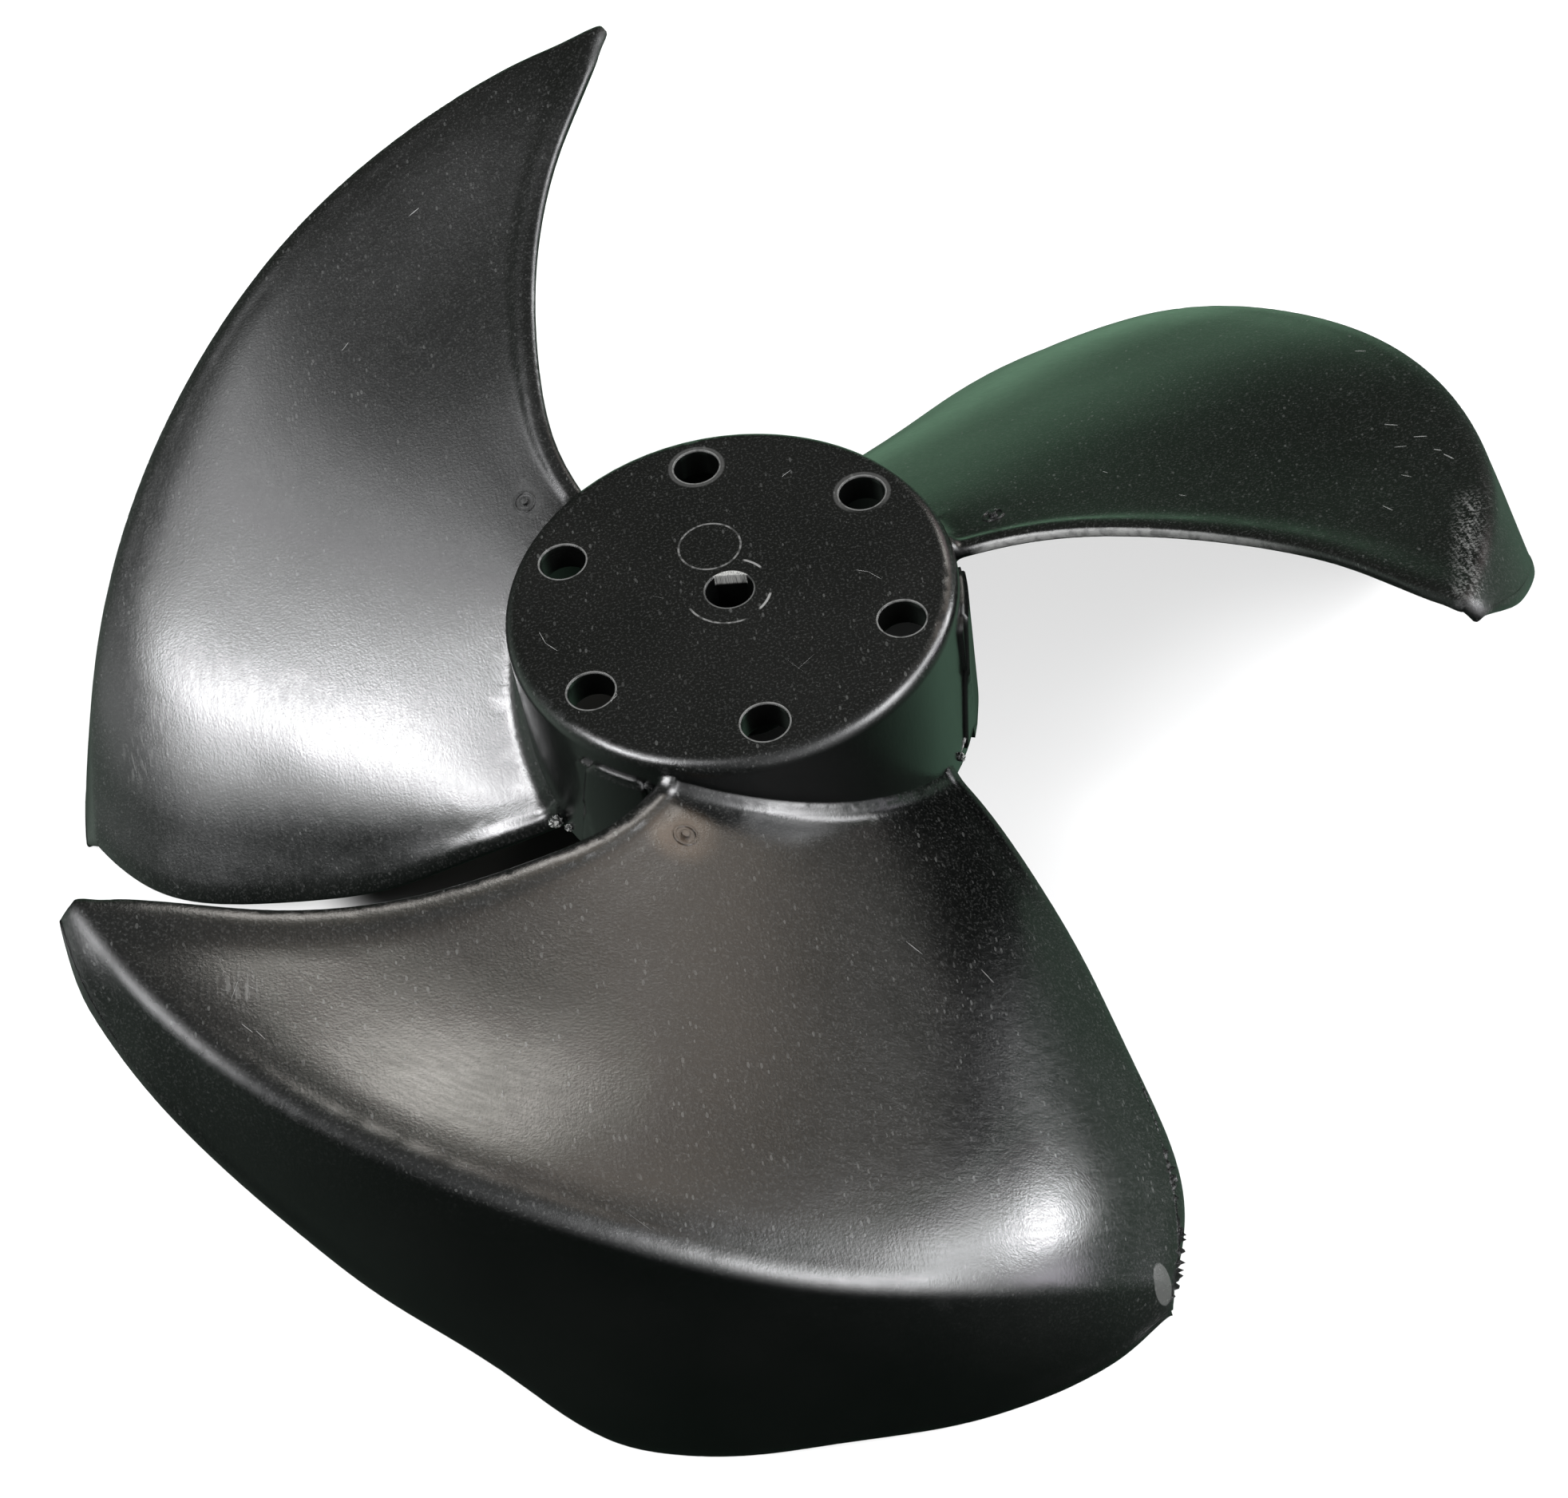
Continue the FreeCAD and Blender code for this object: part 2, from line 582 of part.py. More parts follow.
def build():
    blade = blade_solid()
    tools = []
    for k in range(BLADES):
        b = blade.copy()
        b.rotate(V(0, 0, 0), V(0, 0, 1), k * BLADE_STEP_DEG)
        tools.append(b)
        tools.append(side_patch(k))
    body = hub_outer().fuse(tools)
    body = body.cut(hub_cavity())
    body = body.fuse([gate_mark(k) for k in range(BLADES)])
    cuts = [bore_tool()]
    for k in range(HOLE_COUNT):
        a = math.radians(HOLE_PHASE_DEG + k * 360.0 / HOLE_COUNT)
        cuts.append(Part.makeCylinder(HOLE_R, HUB_TOP + HOLE_COLLAR_H + 4,
                                      V(HOLE_PCD / 2 * math.cos(a), HOLE_PCD / 2 * math.sin(a), -HUB_TOP - HOLE_COLLAR_H - 2)))
    body = body.cut(cuts)
    return body


def main():
    os.makedirs("parts", exist_ok=True)
    body = build()
    if body.ShapeType != "Solid":
        solids = body.Solids
        solids.sort(key=lambda s: -s.Volume)
        print("solids", len(solids), [round(s.Volume, 1) for s in solids])
        body = solids[0]
    print("valid", body.isValid(), "volume cm3", round(body.Volume / 1000.0, 1),
          "box", body.BoundBox, "faces", len(body.Faces))
    body.exportStep("parts/fan.step")


main()
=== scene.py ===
import math
import random

import bmesh
import bpy
from mathutils import Matrix, Vector
from mathutils.bvhtree import BVHTree


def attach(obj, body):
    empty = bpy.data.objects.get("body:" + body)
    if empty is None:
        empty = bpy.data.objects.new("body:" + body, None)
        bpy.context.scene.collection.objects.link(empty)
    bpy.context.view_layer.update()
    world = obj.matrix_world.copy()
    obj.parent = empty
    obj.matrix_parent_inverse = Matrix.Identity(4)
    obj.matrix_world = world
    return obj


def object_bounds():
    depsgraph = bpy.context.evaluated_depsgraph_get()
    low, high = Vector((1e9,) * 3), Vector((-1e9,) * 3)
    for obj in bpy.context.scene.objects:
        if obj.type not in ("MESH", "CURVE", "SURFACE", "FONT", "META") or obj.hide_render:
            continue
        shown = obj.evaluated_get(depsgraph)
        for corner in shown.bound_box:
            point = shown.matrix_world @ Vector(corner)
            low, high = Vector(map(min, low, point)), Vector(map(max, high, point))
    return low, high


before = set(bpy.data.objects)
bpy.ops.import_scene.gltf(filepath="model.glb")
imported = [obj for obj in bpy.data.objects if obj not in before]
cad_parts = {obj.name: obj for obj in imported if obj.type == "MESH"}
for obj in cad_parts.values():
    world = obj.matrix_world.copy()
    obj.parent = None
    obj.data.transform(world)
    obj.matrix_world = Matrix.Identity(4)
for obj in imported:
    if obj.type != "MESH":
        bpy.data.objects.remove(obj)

cad_lo, cad_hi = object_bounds()
scene = bpy.context.scene
scene.view_settings.view_transform = "Standard"
scene.view_settings.look = "None"


# ---------------------------------------------------------------- node helpers
class Tree:
    def __init__(self, tree):
        self.t = tree
        self.t.nodes.clear()

    def n(self, kind, **kw):
        node = self.t.nodes.new(kind)
        for k, v in kw.items():
            setattr(node, k, v)
        return node

    def link(self, a, b):
        self.t.links.new(a, b)

    def put(self, socket, value):
        if isinstance(value, bpy.types.NodeSocket):
            self.t.links.new(value, socket)
        elif value is not None:
            socket.default_value = value

    def math(self, op, a, b=None, c=None, clamp=False):
        m = self.n("ShaderNodeMath", operation=op, use_clamp=clamp)
        for s, v in zip(m.inputs, (a, b, c)):
            self.put(s, v)
        return m.outputs[0]

    def vmath(self, op, a, b=None, scale=None):
        m = self.n("ShaderNodeVectorMath", operation=op)
        self.put(m.inputs[0], a)
        self.put(m.inputs[1], b)
        if scale is not None:
            self.put(m.inputs["Scale"], scale)
        return m.outputs["Value"] if op in ("DOT_PRODUCT", "LENGTH", "DISTANCE") else m.outputs[0]

    def ramp(self, fac, lo, hi, to_lo=0.0, to_hi=1.0, kind="SMOOTHSTEP"):
        m = self.n("ShaderNodeMapRange", interpolation_type=kind)
        self.put(m.inputs[0], fac)
        for s, v in zip(m.inputs[1:5], (lo, hi, to_lo, to_hi)):
            self.put(s, v)
        return m.outputs[0]

    def noise(self, vec, scale, detail=2.0, rough=0.5, dist=0.0, dims="3D"):
        m = self.n("ShaderNodeTexNoise", noise_dimensions=dims)
        self.put(m.inputs["Vector"], vec)
        self.put(m.inputs["Scale"], scale)
        self.put(m.inputs["Detail"], detail)
        self.put(m.inputs["Roughness"], rough)
        self.put(m.inputs["Distortion"], dist)
        return m.outputs[0]

    def voronoi(self, vec, scale, feature="F1", rand=1.0):
        m = self.n("ShaderNodeTexVoronoi", feature=feature)
        self.put(m.inputs["Vector"], vec)
        self.put(m.inputs["Scale"], scale)
        self.put(m.inputs["Randomness"], rand)
        return m

    def mixc(self, fac, a, b, mode="MIX"):
        m = self.n("ShaderNodeMix", data_type="RGBA", blend_type=mode)
        self.put(m.inputs[0], fac)
        self.put(m.inputs[6], a)
        self.put(m.inputs[7], b)
        return m.outputs[2]


def material(name):
    m = bpy.data.materials.new(name)
    m.use_nodes = True
    return m, Tree(m.node_tree)


# ---------------------------------------------------------------- camera
CAM_AT = Vector((0.0, -0.52665494, 0.55718216))
CAM_RIGHT = Vector((0.98210844, -0.14883793, -0.11537023))
CAM_DOWN = Vector((-0.18814755, -0.74959697, -0.63459033))
CAM_FWD = Vector((0.00796994, 0.64494314, -0.764189))
cam_data = bpy.data.cameras.new("camera")
cam = bpy.data.objects.new("camera", cam_data)
scene.collection.objects.link(cam)
rot = Matrix((CAM_RIGHT, -CAM_DOWN, -CAM_FWD)).transposed()
cam.matrix_world = Matrix.Translation(CAM_AT) @ rot.to_4x4()
cam_data.sensor_fit = "HORIZONTAL"
cam_data.sensor_width = 36.0
cam_data.lens = 68.0343
cam_data.clip_start = 0.01
cam_data.clip_end = 50.0
scene.camera = cam


# ---------------------------------------------------------------- plastic
MM = 0.001
HOLE_R, HOLE_PITCH_R, HOLE_PHASE = 6.2 * MM, 46.75 * MM, math.radians(93.1)
FLAT_DIR = (math.cos(math.radians(80.0)), math.sin(math.radians(80.0)), 0.0)
MARK_AT = [(74.2 * MM * math.cos(math.radians(a)), 74.2 * MM * math.sin(math.radians(a)), 0.0)
           for a in (-107.6, 12.4, 132.4)]

# fine scratches and nicks seen from above: from x, y to x, y in millimetres, half width, strength
TOP_SCRATCHES = [
    (-50.2, -2.2, -49.0, -6.4, 0.20, 0.8), (-49.0, -6.4, -46.2, -9.8, 0.20, 0.8),
    (33.0, -1.6, 36.0, -3.0, 0.14, 0.6), (36.0, -3.0, 38.8, -6.4, 0.14, 0.6),
    (-33.4, -26.0, -32.8, -28.6, 0.18, 0.9), (-32.8, -28.6, -34.6, -30.2, 0.18, 0.9),
    (19.5, 37.0, 22.0, 38.8, 0.16, 0.6), (10.5, -27.0, 15.0, -33.5, 0.08, 0.2),
    (18.0, -27.5, 13.0, -31.5, 0.08, 0.2), (-20.0, 3.0, -17.0, 1.2, 0.08, 0.3),
]
BLADE_SCRATCHES = [
    (-124.9, -118.5, -126.6, -124.0, 0.16, 0.3), (-123.0, -119.6, -121.0, -120.6, 0.14, 0.3),
    (-124.5, -130.0, -122.4, -132.2, 0.22, 0.4), (-121.6, -131.8, -119.9, -133.9, 0.20, 0.3),
    (-48.0, -177.5, -43.0, -182.0, 0.10, 0.2),
    (26.5, -95.8, 29.8, -99.0, 0.26, 0.6), (43.6, -100.8, 46.0, -104.2, 0.24, 0.5),
    (176.6, 42.4, 179.0, 40.6, 0.45, 0.9), (172.0, 0.0, 174.6, -2.6, 0.42, 0.9),
    (176.4, -10.4, 179.2, -12.2, 0.42, 0.8), (180.2, -22.6, 181.6, -26.0, 0.45, 1.0),
    (178.8, -19.0, 180.2, -20.6, 0.40, 0.9), (171.0, -12.0, 173.6, -13.4, 0.36, 0.7),
    (168.6, -25.6, 170.4, -28.0, 0.36, 0.7), (160.6, -36.8, 162.0, -40.4, 0.36, 0.6),
    (118.0, -2.0, 119.4, -3.6, 0.34, 0.5), (103.0, 22.0, 104.0, 20.4, 0.34, 0.45),
    (-70.0, 151.0, -66.8, 152.4, 0.40, 0.6), (-95.0, 118.0, -93.0, 119.6, 0.34, 0.5),
]


def plastic(name):
    m, t = material(name)
    out = t.n("ShaderNodeOutputMaterial")
    b = t.n("ShaderNodeBsdfPrincipled")
    t.link(b.outputs[0], out.inputs[0])
    coord = t.n("ShaderNodeTexCoord")
    pos = coord.outputs["Object"]
    sep = t.n("ShaderNodeSeparateXYZ")
    t.link(pos, sep.inputs[0])
    x, y, z = sep.outputs
    up = t.vmath("DOT_PRODUCT", coord.outputs["Normal"], (0.0, 0.0, 1.0))
    flat = t.vmath("MULTIPLY", pos, (1.0, 1.0, 0.0))
    rad = t.vmath("LENGTH", flat)
    ang = t.math("ARCTAN2", y, x)

    def line(dist, at, half, soft=0.5):
        """1 on the line dist = at, falling to 0 at its half width."""
        return t.ramp(t.math("ABSOLUTE", t.math("SUBTRACT", dist, at)), half, half * soft, 0.0, 1.0)

    def spot(centre, r_in, r_out, src=None):
        return t.ramp(t.vmath("DISTANCE", src if src is not None else flat, centre), r_out, r_in, 0.0, 1.0)

    def mul(*vs):
        r = vs[0]
        for v in vs[1:]:
            r = t.math("MULTIPLY", r, v)
        return r

    def most(*vs):
        r = vs[0]
        for v in vs[1:]:
            r = t.math("MAXIMUM", r, v)
        return r

    big = t.noise(pos, 16.0, 2.0, 0.55)
    mid = t.noise(pos, 60.0, 3.0, 0.6)
    grain = t.noise(pos, 1450.0, 2.0, 0.65)
    # fine strokes that follow the sweep of the blades: drawn out round the axis
    polar = t.n("ShaderNodeCombineXYZ")
    t.link(t.math("MULTIPLY", rad, 900.0), polar.inputs[0])
    t.link(t.math("MULTIPLY", ang, 34.0), polar.inputs[1])
    t.link(t.math("MULTIPLY", z, 160.0), polar.inputs[2])
    strokes = t.noise(polar.outputs[0], 1.0, 2.0, 0.6)
    # criss-cross hair lines
    def hair(turn, fine, along):
        mp = t.n("ShaderNodeMapping")
        t.link(pos, mp.inputs[0])
        mp.inputs[2].default_value = (0.0, 0.0, math.radians(turn))
        mp.inputs[3].default_value = (fine, along, along)
        return t.noise(mp.outputs[0], 1.0, 1.0, 0.5)
    hair_a, hair_b = hair(28.0, 1300.0, 170.0), hair(-52.0, 1300.0, 170.0)

    # pale flecks of two sizes, only in some of the cells
    def flecks(scale, keep, size, src):
        v = t.voronoi(src, scale)
        pick = t.n("ShaderNodeSeparateColor")
        t.link(v.outputs["Color"], pick.inputs[0])
        on = t.ramp(pick.outputs[0], keep, keep + 0.02)
        rr = t.math("MULTIPLY_ADD", pick.outputs[1], size, size * 0.5)
        near = t.math("LESS_THAN", v.outputs["Distance"], rr)
        return mul(on, near)
    stretch = t.vmath("MULTIPLY", pos, (1.0, 0.45, 1.0))
    stretch2 = t.vmath("MULTIPLY", pos, (0.45, 1.0, 1.0))
    facing = t.ramp(up, 0.20, 0.62, 0.05, 1.0)
    crowd = mul(t.ramp(mid, 0.38, 0.64, 0.20, 1.0), facing)
    f_small = t.math("MULTIPLY", flecks(620.0, 0.26, 0.16, stretch), crowd)
    f_big = flecks(240.0, 0.91, 0.034, stretch2)

    # hub face: a thin witness circle, a broken circle round the bore, worn hole rims
    on_top = t.ramp(z, -0.0009, -0.0004)
    fleck = t.noise(pos, 380.0, 2.0, 0.6)
    broken = t.ramp(fleck, 0.40, 0.56, 0.25, 1.0)
    witness = mul(line(t.vmath("DISTANCE", flat, (-3.0 * MM, 16.6 * MM, 0.0)), 8.2 * MM, 0.34 * MM), broken, on_top)
    low_side = mul(t.ramp(x, 0.0032, 0.0012), t.ramp(y, -0.0035, -0.0050))
    scrape = mul(line(rad, 11.6 * MM, 0.34 * MM), broken, on_top, low_side)
    # arc_up and arc_right: short scratch arcs round the bore, painted pale only where they catch the light: real
    # scratches with a painted glint
    arc_up = mul(line(rad, 10.7 * MM, 0.40 * MM), spot((7.2 * MM, 7.7 * MM, 0.0), 2.2 * MM, 3.2 * MM), on_top)
    arc_right = mul(line(rad, 10.9 * MM, 0.42 * MM), spot((9.4 * MM, -6.9 * MM, 0.0), 2.6 * MM, 3.6 * MM), on_top)
    a_loc = t.math("WRAP", t.math("SUBTRACT", ang, HOLE_PHASE), math.radians(30.0), math.radians(-30.0))
    hx = t.math("SUBTRACT", t.math("MULTIPLY", rad, t.math("COSINE", a_loc)), HOLE_PITCH_R)
    hy = t.math("MULTIPLY", rad, t.math("SINE", a_loc))
    hd = t.math("SQRT", t.math("ADD", t.math("MULTIPLY", hx, hx), t.math("MULTIPLY", hy, hy)))
    rim_on = t.ramp(z, -0.0007, -0.0002)
    rim = mul(line(hd, HOLE_R + 0.16 * MM, 0.30 * MM, 0.6), rim_on, t.ramp(fleck, 0.30, 0.55, 0.45, 1.0))
    bore_rim = mul(line(rad, 6.5 * MM, 0.28 * MM, 0.6), rim_on, t.ramp(mid, 0.35, 0.6, 0.2, 0.8))
    two_tops = mul(t.ramp(y, 0.018, 0.022), t.ramp(x, -0.020, -0.014))
    collar = mul(t.ramp(hd, 7.9 * MM, 7.3 * MM), t.ramp(hd, 5.9 * MM, 6.2 * MM), rim_on, two_tops)
    # painted highlight: a pale, streaked strip on the flat of the bore, standing in for the light its far wall catches
    flat_d = t.vmath("DOT_PRODUCT", flat, FLAT_DIR)
    bore_flat_painted_highlight = mul(t.ramp(flat_d, 4.6 * MM, 4.9 * MM), t.ramp(rad, 6.7 * MM, 6.5 * MM), t.ramp(z, -0.0034, -0.0026),
                    t.ramp(strokes, 0.36, 0.52, 0.2, 1.0))

    off_hub = t.ramp(rad, 0.064, 0.066)

    # worn spots: pale lens at a rear corner, scuffed band over a tip's crease, smudges
    corner = t.ramp(t.vmath("LENGTH", t.vmath("MULTIPLY", t.vmath("SUBTRACT", pos, (70.6 * MM, -178.0 * MM, -78.0 * MM)),
                                              (1.0 / 0.0024, 1.0 / 0.0050, 1.0 / 0.0050))), 1.08, 0.96, 0.0, 1.0)
    band_rel = t.vmath("SUBTRACT", pos, (179.7 * MM, -44.5 * MM, 30.5 * MM))
    bd = Vector((165.6 - 179.7, -86.0 + 44.5, 42.0 - 30.5))
    bl = bd.length * MM
    bu = bd.normalized()
    along = t.vmath("DOT_PRODUCT", band_rel, tuple(bu))
    foot = t.vmath("SCALE", tuple(bu), scale=along)
    off = t.vmath("DISTANCE", band_rel, foot)
    scuff = mul(t.ramp(off, 5.6 * MM, 0.2 * MM), t.ramp(along, -0.006, 0.006), t.ramp(along, bl + 0.004, bl - 0.002),
                t.ramp(t.math("ADD", t.math("MULTIPLY", hair_a, 0.4), t.math("MULTIPLY", grain, 0.6)), 0.44, 0.66, 0.0, 1.0))
    smudge = mul(most(spot((-172.0 * MM, 35.0 * MM, 0.0), 1.0 * MM, 9.0 * MM), spot((-163.0 * MM, 41.0 * MM, 0.0), 1.0 * MM, 7.0 * MM),
                      spot((-124.0 * MM, -121.0 * MM, 0.0), 1.0 * MM, 8.0 * MM)),
                 off_hub, t.ramp(hair_b, 0.50, 0.66, 0.0, 1.0))
    # the right blade's leading bead is rubbed grey, most of all near the hub; the grey is laid only on its
    # forward-facing side and is partly a painted highlight
    front = t.vmath("DOT_PRODUCT", coord.outputs["Normal"], (0.0, -1.0, 0.0))
    bead_wear_and_highlight = mul(t.ramp(front, 0.04, 0.36), t.ramp(up, -0.50, -0.15), t.ramp(x, 0.063, 0.068), t.ramp(y, -0.050, -0.030),
               t.ramp(x, 0.160, 0.085, 0.20, 1.0), t.ramp(fleck, 0.30, 0.60, 0.5, 1.0),
               t.ramp(t.vmath("DISTANCE", flat, MARK_AT[1]), 0.0060, 0.0075))
    # dull rings round the gate marks, the one in front browner
    g0 = spot(MARK_AT[0], 3.0 * MM, 10.5 * MM)
    dull = most(spot(MARK_AT[0], 3.6 * MM, 6.5 * MM), spot(MARK_AT[1], 3.2 * MM, 6.0 * MM), spot(MARK_AT[2], 3.6 * MM, 7.5 * MM))

    pale = most(mul(f_small, 0.48), mul(f_big, 0.20, facing), mul(t.ramp(grain, 0.50, 0.72, 0.0, 0.24), facing))
    marks = most(mul(witness, 0.55), mul(scrape, 0.65), mul(arc_up, 0.8), mul(arc_right, 0.9), mul(rim, 0.60), mul(bore_rim, 0.5),
                 mul(corner, 0.26), mul(bead_wear_and_highlight, 1.0), mul(scuff, 0.62), mul(smudge, 0.22), mul(collar, 0.16))

    col = t.mixc(t.ramp(big, 0.35, 0.7), (0.0011, 0.0013, 0.0012, 1), (0.0020, 0.0021, 0.0020, 1))
    col = t.mixc(mul(g0, t.ramp(mid, 0.3, 0.6, 0.5, 1.0)), col, (0.0360, 0.0240, 0.0150, 1))
    col = t.mixc(pale, col, (0.060, 0.061, 0.059, 1))
    col = t.mixc(marks, col, (0.150, 0.150, 0.146, 1))
    # painted highlight on the flat of the bore
    col = t.mixc(bore_flat_painted_highlight, col, (0.24, 0.24, 0.23, 1))
    t.link(col, b.inputs["Base Color"])

    r = t.math("ADD", t.ramp(mid, 0.3, 0.7, -0.012, 0.012), t.ramp(big, 0.3, 0.7, 0.190, 0.220))
    r = t.math("ADD", r, t.ramp(strokes, 0.3, 0.7, -0.015, 0.025))
    r = t.math("ADD", r, mul(dull, 0.09))
    r = t.math("ADD", r, t.math("MULTIPLY_ADD", pale, 0.05, mul(marks, 0.20)))
    t.link(r, b.inputs["Roughness"])
    # painted shade: the gloss is cut to next to nothing inside the cup, standing in for its unlit inside
    inside = mul(t.ramp(rad, 0.0578, 0.0570), t.ramp(z, -0.0008, -0.0022))
    t.link(t.ramp(inside, 0.0, 1.0, 0.5, 0.06), b.inputs["Specular IOR Level"])

    h = t.math("ADD", mul(grain, 0.9), mul(t.math("ADD", hair_a, hair_b), 0.22))
    bump = t.n("ShaderNodeBump")
    bump.inputs["Strength"].default_value = 0.55
    bump.inputs["Distance"].default_value = 0.00006
    t.link(h, bump.inputs["Height"])
    # slow waviness of the moulded skin
    fold = t.n("ShaderNodeBevel", samples=2)
    t.link(t.ramp(rad, 0.172, 0.181, 0.0009, 0.0032), fold.inputs["Radius"])
    wave = t.n("ShaderNodeBump")
    t.link(fold.outputs[0], wave.inputs["Normal"])
    wave.inputs["Strength"].default_value = 0.14
    wave.inputs["Distance"].default_value = 0.0006
    t.link(t.noise(pos, 38.0, 2.0, 0.5), wave.inputs["Height"])
    t.link(wave.outputs[0], bump.inputs["Normal"])
    t.link(bump.outputs[0], b.inputs["Normal"])
    return m


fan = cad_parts["fan"]
black = plastic("fan_plastic")
for s in fan.material_slots:
    s.material = black
if not fan.material_slots:
    fan.data.materials.append(black)


def burr_plastic(name):
    """torn moulding flash: dark plastic with whitened tears, their pale patches partly a painted glint."""
    m, t = material(name)
    out = t.n("ShaderNodeOutputMaterial")
    b = t.n("ShaderNodeBsdfPrincipled")
    t.link(b.outputs[0], out.inputs[0])
    pos = t.n("ShaderNodeTexCoord").outputs["Object"]
    tear_and_glint = t.ramp(t.noise(pos, 1100.0, 3.0, 0.65), 0.46, 0.60)
    # pale patches: whitened tears and painted glints
    t.link(t.mixc(tear_and_glint, (0.012, 0.014, 0.013, 1), (0.30, 0.30, 0.29, 1)), b.inputs["Base Color"])
    t.link(t.ramp(tear_and_glint, 0.0, 1.0, 0.22, 0.45), b.inputs["Roughness"])
    return m


torn = burr_plastic("fan_flash")


def put_piece(name, bm, mat, smooth=False):
    bmesh.ops.recalc_face_normals(bm, faces=bm.faces)
    data = bpy.data.meshes.new(name)
    bm.to_mesh(data)
    bm.free()
    for f in data.polygons:
        f.use_smooth = smooth
    data.materials.append(mat)
    piece = bpy.data.objects.new(name, data)
    scene.collection.objects.link(piece)
    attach(piece, "root")
    return piece


def cad_skin(obj):
    bm = bmesh.new()
    bm.from_mesh(obj.data)
    bm.transform(obj.matrix_world)
    tree = BVHTree.FromBMesh(bm)
    bm.free()
    return tree


skin = cad_skin(fan)


def steps_of(path, step):
    pts = [Vector(p) * MM for p in path]
    res = [pts[0]]
    for a, b in zip(pts, pts[1:]):
        n = max(1, int(round((b - a).length / (step * MM))))
        res += [a.lerp(b, (i + 1) / n) for i in range(n)]
    return res


def flash(name, path, low, high, step, seed, mat, ends=3):
    """a ragged fin along a path on the skin: a closed thin strip, its root sunk in the plastic."""
    rnd = random.Random(seed)
    pts = steps_of(path, step)
    bm = bmesh.new()
    rows = []
    for i, p in enumerate(pts):
        q, nrm, _, _ = skin.find_nearest(p)
        tan = (pts[min(i + 1, len(pts) - 1)] - pts[max(i - 1, 0)]).normalized()
        away = tan.cross(CAM_FWD).normalized()
        if away.dot(nrm) < 0.0:
            away = -away
        away = (away + nrm * 0.35 + Vector((0, 0, 1)) * rnd.uniform(-0.15, 0.15)).normalized()
        taper = min(1.0, (i + 0.5) / ends, (len(pts) - 0.5 - i) / ends)
        w = (low + (high - low) * rnd.random() ** 2.2) * taper * MM
        side = tan.cross(away).normalized()
        base = q - away * 0.9 * MM
        tip = q + away * w + tan * rnd.uniform(-0.3, 0.3) * step * MM
        rows.append([bm.verts.new(v) for v in (base + side * 0.22 * MM, base - side * 0.22 * MM,
                                               tip - side * 0.05 * MM, tip + side * 0.05 * MM)])
    for a, b in zip(rows, rows[1:]):
        for k in range(4):
            bm.faces.new((a[k], a[(k + 1) % 4], b[(k + 1) % 4], b[k]))
    bm.faces.new(rows[0])
    bm.faces.new(rows[-1][::-1])
    return put_piece(name, bm, mat)


def crumple(name, at, size, seed, mat):
    """a crushed curl of flash: a folded lump, half sunk in the plastic."""
    rnd = random.Random(seed)
    q, nrm, _, _ = skin.find_nearest(Vector(at) * MM)
    bm = bmesh.new()
    bmesh.ops.create_icosphere(bm, subdivisions=3, radius=1.0)
    folds = [(Vector((rnd.uniform(-1, 1), rnd.uniform(-1, 1), rnd.uniform(-1, 1))).normalized(), rnd.uniform(3.0, 9.0),
              rnd.uniform(0, 6.28)) for _ in range(6)]
    for v in bm.verts:
        d = v.co.normalized()
        r = 0.72
        for ax, fr, ph in folds:
            r += 0.13 * abs(math.sin(fr * d.dot(ax) + ph)) - 0.04
        v.co = d * r * (1.0 + rnd.uniform(-0.10, 0.12))
        v.co = Vector((v.co.x * size[0], v.co.y * size[1], v.co.z * size[2])) * MM
    bmesh.ops.translate(bm, verts=bm.verts, vec=q + nrm * 0.25 * size[0] * MM)
    return put_piece(name, bm, mat)


def nick_plastic(name):
    m, t = material(name)
    out = t.n("ShaderNodeOutputMaterial")
    b = t.n("ShaderNodeBsdfPrincipled")
    t.link(b.outputs[0], out.inputs[0])
    pos = t.n("ShaderNodeTexCoord").outputs["Object"]
    t.link(t.mixc(t.noise(pos, 900.0, 2.0, 0.6), (0.02, 0.02, 0.02, 1), (0.22, 0.22, 0.215, 1)), b.inputs["Base Color"])
    b.inputs["Roughness"].default_value = 0.42
    return m


pale_nick = nick_plastic("fan_nick")


def nicks(name, table):
    """scratches and nicks: thin slivers of raised plastic, closed and half sunk in the skin."""
    bm = bmesh.new()
    for x0, y0, x1, y1, half, power in table:
        a, b = Vector((x0, y0, 0)) * MM, Vector((x1, y1, 0)) * MM
        n = max(3, int((b - a).length / (0.8 * MM)))
        rows = []
        for i in range(n + 1):
            p = a.lerp(b, i / n)
            hit = skin.ray_cast(Vector((p.x, p.y, 0.2)), Vector((0, 0, -1)))
            if hit[0] is None:
                continue
            q, nrm = hit[0], hit[1]
            across = nrm.cross(b - a).normalized()
            w = half * 0.62 * (0.45 + 0.55 * power) * MM * (0.35 + 0.65 * math.sin(math.pi * (i + 0.5) / (n + 1)))
            rows.append([bm.verts.new(v) for v in (q + across * w - nrm * 0.01 * MM, q + nrm * 0.035 * MM,
                                                   q - across * w - nrm * 0.01 * MM, q - nrm * 0.12 * MM)])
        if len(rows) < 2:
            for r in rows:
                bmesh.ops.delete(bm, geom=r, context="VERTS")
            continue
        for r0, r1 in zip(rows, rows[1:]):
            for k in range(4):
                bm.faces.new((r0[k], r0[(k + 1) % 4], r1[(k + 1) % 4], r1[k]))
        bm.faces.new(rows[0])
        bm.faces.new(rows[-1][::-1])
    return put_piece(name, bm, pale_nick)


nicks("nicks_hub", TOP_SCRATCHES)
nicks("nicks_blades", BLADE_SCRATCHES)

